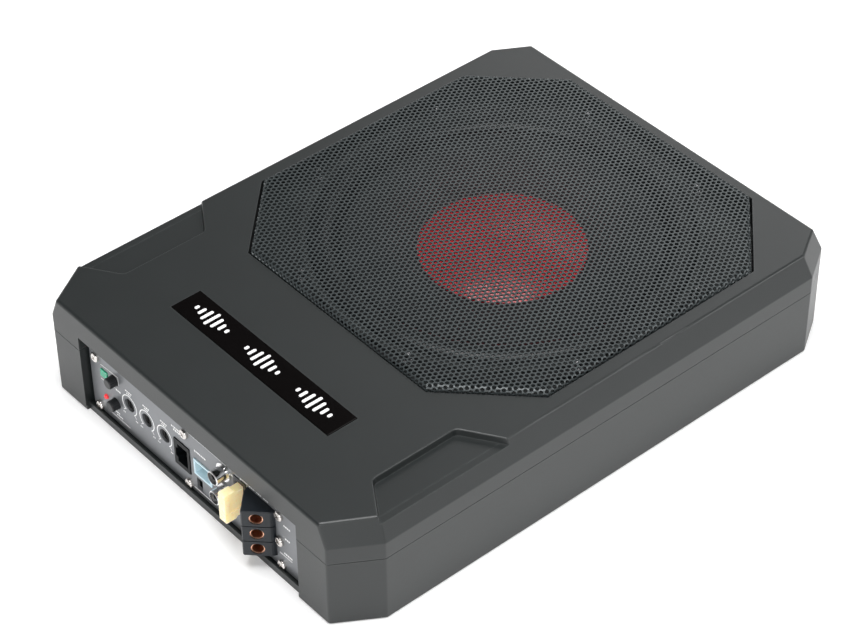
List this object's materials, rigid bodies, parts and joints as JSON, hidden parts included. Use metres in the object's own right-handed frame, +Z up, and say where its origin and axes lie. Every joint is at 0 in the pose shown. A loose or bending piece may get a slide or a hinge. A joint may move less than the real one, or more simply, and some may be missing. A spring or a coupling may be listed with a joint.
{
  "type": "powered car subwoofer",
  "caption": "Flat under-seat powered subwoofer: chamfered split-shell case, octagonal perforated grille over a woofer, and a recessed control and wiring panel.",
  "frame": {"origin": "centre of the flat underside of the base tray", "axes": "+Z up, +Y along the long side away from the control panel, +X along the short side; the control panel faces -Y"},
  "size_m": [0.26, 0.353, 0.0685],
  "materials": {
    "case_coat": "satin charcoal powder coat",
    "gasket_rubber": "matt",
    "grille_steel": "satin charcoal paint over steel",
    "badge_gloss": "gloss black",
    "badge_print": "white",
    "screw_steel": "nickel plated",
    "panel_screw_chrome": "bright plated",
    "insert_brass": "knurled",
    "basket_steel": "black paint",
    "plated_steel": "zinc plated",
    "ferrite": "matt",
    "cone_pulp": "matt black pulp",
    "cap_red": "gloss red",
    "former_foil": "foil",
    "coil_copper": "enamelled copper",
    "spider_cloth": "resin treated cloth",
    "board_green": "solder mask",
    "heatsink_alu": "extruded",
    "black_plastic": "satin",
    "wire_jacket": "pvc",
    "panel_grey": "satin grey coat with white print",
    "led_green": "clear tinted",
    "led_red": "clear tinted",
    "gold_contact": "plated",
    "header_nylon": "pale blue nylon",
    "sleeve_chrome": "bright",
    "fuse_amber": "pale amber",
    "blade_zinc": "zinc",
    "clamp_steel": "zinc plated"
  },
  "bodies": {
    "chassis": {"amp_board": "board_green", "badge_emblem": "badge_print", "badge_plate": "badge_gloss", "base_tray": "case_coat", "basket": "basket_steel", "board_screws": "screw_steel", "bracket_inserts": "insert_brass", "brass_clamps": "gold_contact", "capacitors": "black_plastic", "case_screws": "screw_steel", "control_board": "board_green", "control_panel": "panel_grey", "fuse_holder": "black_plastic", "grille": "grille_steel", "header_pins": "gold_contact", "heatsink": "heatsink_alu", "high_level_header": "header_nylon", "jack_contacts": "gold_contact", "magnet": "ferrite", "output_coils": "coil_copper", "panel_screws": "panel_screw_chrome", "pot_bodies": "black_plastic", "power_led": "led_green", "power_transistors": "black_plastic", "protect_led": "led_red", "rca_housing": "black_plastic", "rca_insulators": "black_plastic", "rca_sleeves": "sleeve_chrome", "remote_jack": "black_plastic", "shell_gasket": "gasket_rubber", "speaker_wires": "wire_jacket", "spider": "spider_cloth", "surround": "gasket_rubber", "switch_bodies": "black_plastic", "tag_board": "board_green", "terminal_block": "black_plastic", "top_cover": "case_coat", "top_plate": "plated_steel", "transformer": "coil_copper", "woofer_gasket": "gasket_rubber", "woofer_screws": "screw_steel", "yoke": "plated_steel"},
    "woofer_cone": {"cone": "cone_pulp", "dust_cap": "cap_red", "voice_coil_former": "former_foil", "voice_coil": "coil_copper"},
    "gain_knob_body": {"gain_knob": "black_plastic"},
    "low_pass_knob_body": {"low_pass_knob": "black_plastic"},
    "bass_boost_knob_body": {"bass_boost_knob": "black_plastic"},
    "phase_button_body": {"phase_button": "black_plastic"},
    "auto_on_button_body": {"auto_on_button": "black_plastic"},
    "fuse_body": {"fuse": "fuse_amber", "fuse_blades": "blade_zinc"},
    "clamp_pad_1_body": {"clamp_pad_1": "clamp_steel"},
    "clamp_screw_1_body": {"clamp_screw_1": "clamp_steel"},
    "clamp_pad_2_body": {"clamp_pad_2": "clamp_steel"},
    "clamp_screw_2_body": {"clamp_screw_2": "clamp_steel"},
    "clamp_pad_3_body": {"clamp_pad_3": "clamp_steel"},
    "clamp_screw_3_body": {"clamp_screw_3": "clamp_steel"}
  },
  "joints": [
    {"name": "cone_travel", "type": "slide", "parent": "chassis", "child": "woofer_cone", "axis": [0, 0, 1], "range_m": [-0.0045, 0.0045], "stiffness_N_per_m": 3000, "deforming": ["surround", "spider"]},
    {"name": "gain_turn", "type": "hinge", "parent": "chassis", "child": "gain_knob_body", "pos_m": [-0.0555, -0.1675, 0.025], "axis": [0, -1, 0], "range_deg": [-150, 150]},
    {"name": "low_pass_turn", "type": "hinge", "parent": "chassis", "child": "low_pass_knob_body", "pos_m": [-0.0402, -0.1675, 0.025], "axis": [0, -1, 0], "range_deg": [-150, 150]},
    {"name": "bass_boost_turn", "type": "hinge", "parent": "chassis", "child": "bass_boost_knob_body", "pos_m": [-0.0249, -0.1675, 0.025], "axis": [0, -1, 0], "range_deg": [-150, 150]},
    {"name": "phase_press", "type": "slide", "parent": "chassis", "child": "phase_button_body", "axis": [0, 1, 0], "range_m": [0, 0.002], "stiffness_N_per_m": 600, "springref_m": -0.001},
    {"name": "auto_on_press", "type": "slide", "parent": "chassis", "child": "auto_on_button_body", "axis": [0, 1, 0], "range_m": [0, 0.002], "stiffness_N_per_m": 600, "springref_m": -0.001},
    {"name": "fuse_pull", "type": "slide", "parent": "chassis", "child": "fuse_body", "axis": [0, -1, 0], "range_m": [0, 0.014]},
    {"name": "clamp_1_feed", "type": "slide", "parent": "chassis", "child": "clamp_pad_1_body", "axis": [0.7071, 0.7071, 0], "range_m": [0, 0.0022]},
    {"name": "clamp_1_turn", "type": "hinge", "parent": "clamp_pad_1_body", "child": "clamp_screw_1_body", "pos_m": [0.0515, -0.1755, 0.01492], "axis": [0.7071, 0.7071, 0], "range_deg": [0, 1131.63]},
    {"name": "clamp_2_feed", "type": "slide", "parent": "chassis", "child": "clamp_pad_2_body", "axis": [0.7071, 0.7071, 0], "range_m": [0, 0.0022]},
    {"name": "clamp_2_turn", "type": "hinge", "parent": "clamp_pad_2_body", "child": "clamp_screw_2_body", "pos_m": [0.0515, -0.1755, 0.02535], "axis": [0.7071, 0.7071, 0], "range_deg": [0, 1131.63]},
    {"name": "clamp_3_feed", "type": "slide", "parent": "chassis", "child": "clamp_pad_3_body", "axis": [0.7071, 0.7071, 0], "range_m": [0, 0.0022]},
    {"name": "clamp_3_turn", "type": "hinge", "parent": "clamp_pad_3_body", "child": "clamp_screw_3_body", "pos_m": [0.0515, -0.1755, 0.03578], "axis": [0.7071, 0.7071, 0], "range_deg": [0, 1131.63]}
  ],
  "couplings": [
    {"joint": "clamp_1_turn", "follows": "clamp_1_feed", "rad_per_m": 8976},
    {"joint": "clamp_2_turn", "follows": "clamp_2_feed", "rad_per_m": 8976},
    {"joint": "clamp_3_turn", "follows": "clamp_3_feed", "rad_per_m": 8976}
  ]
}
